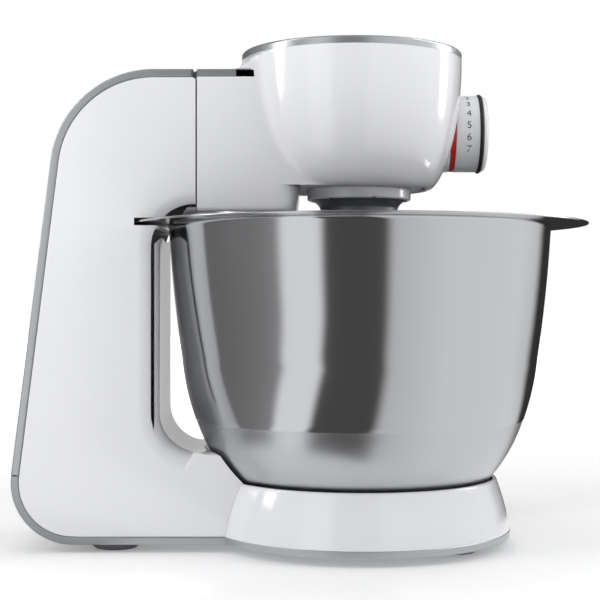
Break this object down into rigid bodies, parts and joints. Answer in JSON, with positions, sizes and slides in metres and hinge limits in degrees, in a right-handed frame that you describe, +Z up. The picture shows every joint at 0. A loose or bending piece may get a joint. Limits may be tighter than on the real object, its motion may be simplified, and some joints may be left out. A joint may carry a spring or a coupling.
{
  "type": "stand mixer",
  "caption": "Kitchen stand mixer: C-shaped column, tilting arm with planetary drive, twist-in steel bowl with a wide rim, speed dial and release button.",
  "frame": {"origin": "on the floor under the middle of the whole machine", "axes": "+Z up, +X from the column towards the bowl, +Y towards the side with the release button"},
  "size_m": [0.3225, 0.2602, 0.2797],
  "materials": {
    "white_gloss": "polished ABS",
    "white_matt": "fine moulded",
    "satin_trim": "satin silver paint",
    "grey_tray": "satin silver grey",
    "zinc_steel": "zinc plated",
    "grey_rubber": "moulded",
    "spring_steel": "drawn wire",
    "black_rubber": "moulded",
    "circuit_board": "solder mask",
    "gear_plastic": "natural acetal",
    "cast_metal": "die cast",
    "bronze": "sintered",
    "ferrite": "sintered",
    "black_plastic": "moulded",
    "dark_hub": "satin",
    "armature_copper": "lacquered winding",
    "red_plastic": "smooth",
    "grey_plastic": "fine moulded",
    "bowl_steel": "polished inside and out"
  },
  "bodies": {
    "stand": {"column_shell_left": "white_gloss", "column_shell_right": "white_gloss", "rim_pocket": "white_gloss", "back_band": "satin_trim", "bottom_tray": "grey_tray", "base_screws": "zinc_steel", "foot_rear_left": "grey_rubber", "foot_rear_right": "grey_rubber", "foot_front_left": "grey_rubber", "foot_front_right": "grey_rubber", "bowl_dish": "white_gloss", "bayonet_socket": "white_matt", "column_hinge_leaf": "zinc_steel", "hinge_pin": "zinc_steel", "button_bracket": "white_matt", "button_spring": "spring_steel", "cord_gland": "black_rubber", "support_frame": "zinc_steel", "mains_board": "circuit_board"},
    "arm": {"arm_shell": "white_gloss", "knob_boss": "white_gloss", "head_trim_ring": "satin_trim", "head_deck": "white_gloss", "arm_deck_trim": "satin_trim", "arm_under_cover": "white_matt", "drive_collar": "white_gloss", "arm_hinge_leaf": "zinc_steel", "ring_gear": "gear_plastic", "gearbox_frame": "cast_metal", "lower_shaft_bearing": "bronze", "upper_shaft_bearing": "bronze", "seal_ring": "black_rubber", "drive_belt": "black_rubber", "motor_can": "zinc_steel", "motor_magnets": "ferrite", "lower_motor_bearing": "bronze", "upper_motor_bearing": "bronze", "control_board": "circuit_board", "speed_switch": "black_plastic"},
    "planet_carrier": {"main_shaft": "zinc_steel", "carrier_hub": "dark_hub", "large_pulley": "gear_plastic", "blender_coupling": "black_plastic"},
    "spindle": {"tool_spindle": "zinc_steel", "planet_pinion": "gear_plastic"},
    "motor_rotor": {"armature": "armature_copper", "motor_shaft": "zinc_steel", "cooling_fan": "black_plastic", "small_pulley": "bronze"},
    "speed_knob": {"knob_body": "white_gloss", "knob_grip_ring": "black_rubber", "knob_red_ring": "red_plastic", "knob_spindle": "zinc_steel"},
    "release_button": {"button_cap": "grey_plastic", "button_plunger": "white_matt"},
    "bowl": {"bowl_shell": "bowl_steel", "bowl_foot": "bowl_steel"},
    "lid": {"drive_cover": "white_gloss"}
  },
  "joints": [
    {"name": "arm_tilt", "type": "hinge", "parent": "stand", "child": "arm", "pos_m": [-0.0596, 0, 0.2626], "axis": [0, -1, 0], "range_deg": [0, 60]},
    {"name": "hub_spin", "type": "hinge", "parent": "arm", "child": "planet_carrier", "pos_m": [0.0312, 0, 0.2], "axis": [0, 0, 1], "continuous": true},
    {"name": "spindle_spin", "type": "hinge", "parent": "planet_carrier", "child": "spindle", "pos_m": [0.0422, 0, 0.2], "axis": [0, 0, 1], "continuous": true},
    {"name": "motor_spin", "type": "hinge", "parent": "arm", "child": "motor_rotor", "pos_m": [-0.0315, 0, 0.21], "axis": [0, 0, 1], "continuous": true},
    {"name": "speed_dial", "type": "hinge", "parent": "arm", "child": "speed_knob", "pos_m": [0.0849, 0.022, 0.2368], "axis": [1, 0, 0], "range_deg": [-18, 127]},
    {"name": "bowl_twist", "type": "hinge", "parent": "stand", "child": "bowl", "pos_m": [0.0312, 0, 0.02], "axis": [0, 0, 1], "range_deg": [-26, 0]},
    {"name": "button_press", "type": "slide", "parent": "stand", "child": "release_button", "axis": [0, -1, 0], "range_m": [0, 0.004], "stiffness_N_per_m": 400, "deforming": ["button_spring"]},
    {"name": "lid_lift", "type": "slide", "parent": "arm", "child": "lid", "axis": [0, 0, 1], "range_m": [0, 0.03]}
  ],
  "couplings": [
    {"joint": "spindle_spin", "follows": "hub_spin", "ratio": -2},
    {"joint": "motor_spin", "follows": "hub_spin", "ratio": 4.25}
  ]
}
